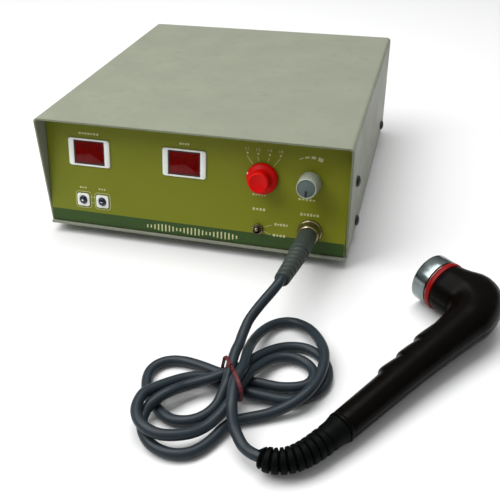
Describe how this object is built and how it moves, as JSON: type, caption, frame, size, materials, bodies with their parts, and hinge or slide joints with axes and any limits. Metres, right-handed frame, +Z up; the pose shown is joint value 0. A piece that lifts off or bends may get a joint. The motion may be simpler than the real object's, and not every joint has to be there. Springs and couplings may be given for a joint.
{
  "type": "ultrasound therapy device",
  "caption": "Flat sheet-metal bench console with a leaning control panel, displays and knobs, and a plug-in coiled lead to an angled treatment handpiece.",
  "frame": {"origin": "centre of the whole set's footprint (console, lead and handpiece), at table level", "axes": "+Z up; +X to the right seen from the front of the console; +Y from the console's front to its back"},
  "size_m": [0.3492, 0.4568, 0.096],
  "materials": {
    "case_paint": "fine textured sage-green enamel",
    "zinc_plate": "zinc plated steel",
    "overlay": "olive printed polyester overlay with pale line marks",
    "white_plastic": "off-white moulded plastic",
    "red_window": "dark red display filter",
    "display_body": "black display housing",
    "circuit_board": "green circuit board",
    "navy_plastic": "glossy navy-black button caps",
    "black_plastic": "black moulded plastic",
    "red_plastic": "bright red knob plastic",
    "grey_plastic": "blue-grey knob plastic",
    "nickel": "dull nickel plate",
    "steel": "plain steel",
    "heat_sink": "extruded aluminium",
    "winding": "lacquered copper wire under varnish; brass stands in for copper",
    "fuse_glass": "clear glass tube with end caps",
    "screw_black": "black oxide domed screws",
    "foot_rubber": "black rubber",
    "plug_rubber": "slate grey moulded rubber",
    "boot_rubber": "black ribbed rubber",
    "cable_jacket": "dark slate cable jacket",
    "tie_red": "dull red plastic twist tie",
    "handle_black": "near-black satin moulded handle",
    "head_metal": "polished metal applicator",
    "seal_red": "dark red seal ring",
    "ceramic": "fired piezo ceramic; plastic stands in for ceramic"
  },
  "bodies": {
    "console": {"base_tray": "case_paint", "top_cover": "case_paint", "front_panel": "zinc_plate", "front_overlay": "overlay", "rear_panel": "case_paint", "foot_front_left": "foot_rubber", "foot_front_right": "foot_rubber", "foot_rear_left": "foot_rubber", "foot_rear_right": "foot_rubber", "cover_screw_left_upper_front": "screw_black", "cover_screw_left_lower_front": "screw_black", "cover_screw_left_lower_rear": "screw_black", "cover_screw_right_upper_front": "screw_black", "cover_screw_right_lower_front": "screw_black", "cover_screw_right_lower_rear": "screw_black", "time_display_bezel": "white_plastic", "time_display_window": "red_window", "time_display_module": "display_body", "intensity_display_bezel": "white_plastic", "intensity_display_window": "red_window", "intensity_display_module": "display_body", "display_board": "circuit_board", "up_button_surround": "white_plastic", "down_button_surround": "white_plastic", "selector_switch_body": "black_plastic", "power_potentiometer": "zinc_plate", "toggle_switch_body": "black_plastic", "toggle_nut": "nickel", "output_socket": "nickel", "socket_nut": "nickel", "mains_inlet": "black_plastic", "rocker_housing": "black_plastic", "fuse_holder": "black_plastic", "main_board": "circuit_board", "transformer_core": "steel", "transformer_winding": "winding", "heat_sink": "heat_sink", "power_transistor": "black_plastic"},
    "selector": {"selector_knob": "red_plastic", "selector_shaft": "steel"},
    "power_control": {"power_knob": "grey_plastic", "power_shaft": "steel"},
    "toggle": {"toggle_lever": "nickel"},
    "up_key": {"up_button": "navy_plastic"},
    "down_key": {"down_button": "navy_plastic"},
    "rocker": {"power_rocker": "black_plastic"},
    "fuse_carrier": {"fuse_cap": "black_plastic", "fuse": "fuse_glass"},
    "lead": {"plug_insert": "nickel", "plug_boot": "plug_rubber", "cable": "cable_jacket", "twist_tie": "tie_red"},
    "plug_ring": {"coupling_ring": "nickel"},
    "handpiece": {"handle_boot": "boot_rubber", "handle_collar": "handle_black", "handle_shell_upper": "handle_black", "handle_shell_lower": "handle_black", "treatment_head": "head_metal", "head_seal": "seal_red", "piezo_crystal": "ceramic"}
  },
  "joints": [
    {"name": "selector_turn", "type": "hinge", "parent": "console", "child": "selector", "pos_m": [0.00246, -0.02033, 0.06242], "axis": [0, -0.9806, 0.1961], "range_deg": [-96, 0]},
    {"name": "power_turn", "type": "hinge", "parent": "console", "child": "power_control", "pos_m": [0.03736, -0.02023, 0.06291], "axis": [0, -0.9806, 0.1961], "range_deg": [-300, 0]},
    {"name": "toggle_flip", "type": "hinge", "parent": "console", "child": "toggle", "pos_m": [0.00056, -0.02863, 0.024], "axis": [1, 0, 0], "range_deg": [0, 28]},
    {"name": "up_press", "type": "slide", "parent": "console", "child": "up_key", "axis": [0, 0.9806, -0.1961], "range_m": [0, 0.0005]},
    {"name": "down_press", "type": "slide", "parent": "console", "child": "down_key", "axis": [0, 0.9806, -0.1961], "range_m": [0, 0.0005]},
    {"name": "rocker_tilt", "type": "hinge", "parent": "console", "child": "rocker", "pos_m": [-0.08184, 0.21709, 0.038], "axis": [1, 0, 0], "range_deg": [0, 16]},
    {"name": "fuse_cap_turn", "type": "hinge", "parent": "console", "child": "fuse_carrier", "pos_m": [-0.05184, 0.21959, 0.038], "axis": [0, 1, 0], "range_deg": [0, 90]},
    {"name": "plug_slide", "type": "slide", "parent": "console", "child": "lead", "axis": [0, -0.9806, 0.1961], "range_m": [0, 0.015]},
    {"name": "coupling_ring_spin", "type": "hinge", "parent": "lead", "child": "plug_ring", "pos_m": [0.03966, -0.02749, 0.02663], "axis": [0, -0.9806, 0.1961], "continuous": true},
    {"name": "handpiece_swing", "type": "hinge", "parent": "lead", "child": "handpiece", "pos_m": [0.05466, -0.22081, 0.009], "axis": [0, 0, 1], "range_deg": [-15, 10]}
  ]
}
